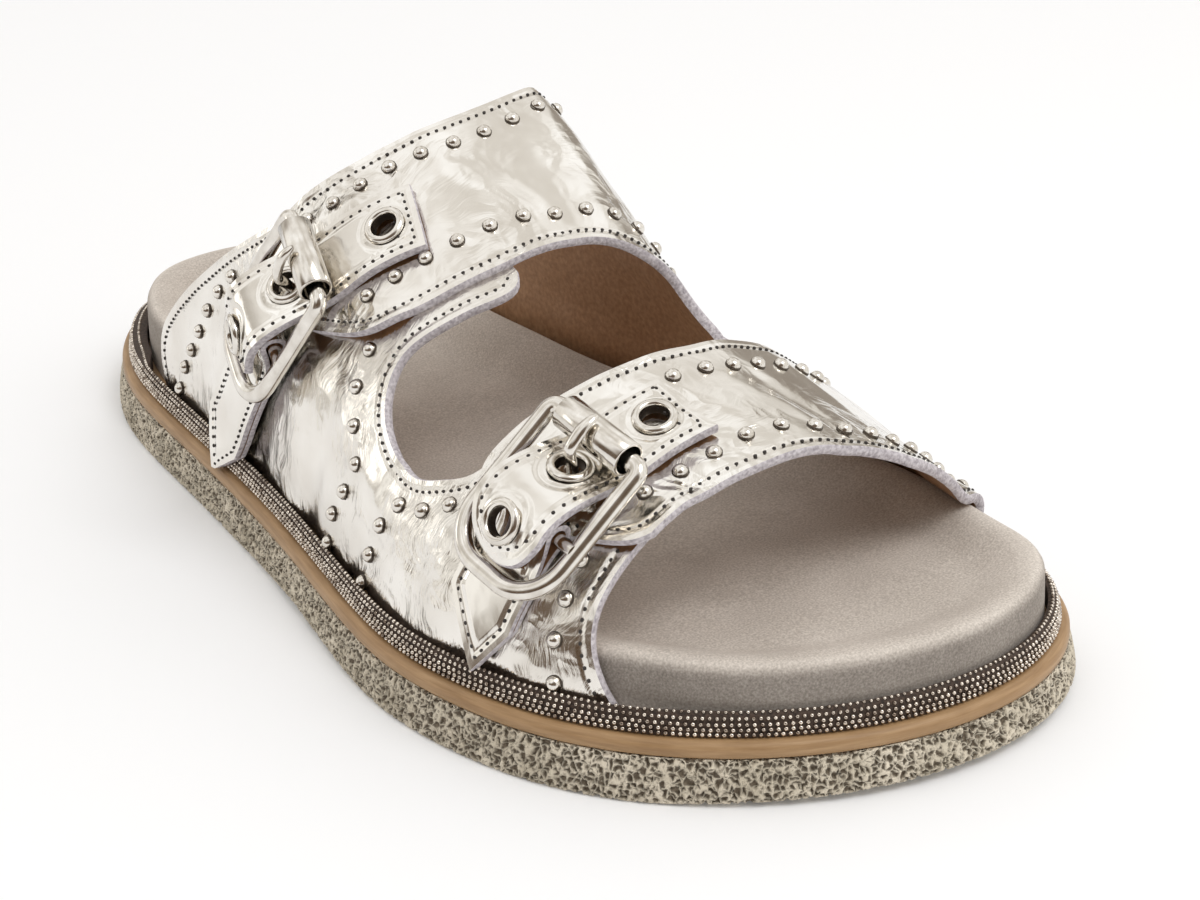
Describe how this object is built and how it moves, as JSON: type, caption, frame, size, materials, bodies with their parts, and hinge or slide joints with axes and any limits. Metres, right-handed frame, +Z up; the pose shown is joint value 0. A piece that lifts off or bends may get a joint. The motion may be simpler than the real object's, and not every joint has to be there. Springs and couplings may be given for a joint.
{
  "type": "slide sandal",
  "caption": "Two-strap slide sandal for the right foot: metallic leather upper with roller buckles, moulded suede footbed, beaded band, tan welt and crepe sole.",
  "frame": {"origin": "middle of the footprint on the floor", "axes": "+Z up, toe toward -Y, outer side of the foot toward -X"},
  "size_m": [0.1168, 0.2616, 0.0848],
  "materials": {
    "crepe": "rough, pitted crepe",
    "tan": "natural tan edge",
    "beads": "rows of small metal beads on dark braid",
    "suede": "napped suede",
    "foil": "creased metallic foil, champagne silver",
    "nickel": "polished nickel"
  },
  "bodies": {
    "root": {"outsole": "crepe", "midsole": "tan", "bead_band": "beads", "footbed": "suede", "upper": "foil", "chape_back": "foil", "billet_back": "foil", "frame_back": "nickel", "roller_back": "nickel", "prong_back": "nickel", "eyelet_back_1": "nickel", "eyelet_back_2": "nickel", "eyelet_back_3": "nickel", "chape_front": "foil", "billet_front": "foil", "frame_front": "nickel", "roller_front": "nickel", "prong_front": "nickel", "eyelet_front_1": "nickel", "eyelet_front_2": "nickel", "eyelet_front_3": "nickel"}
  },
  "joints": []
}
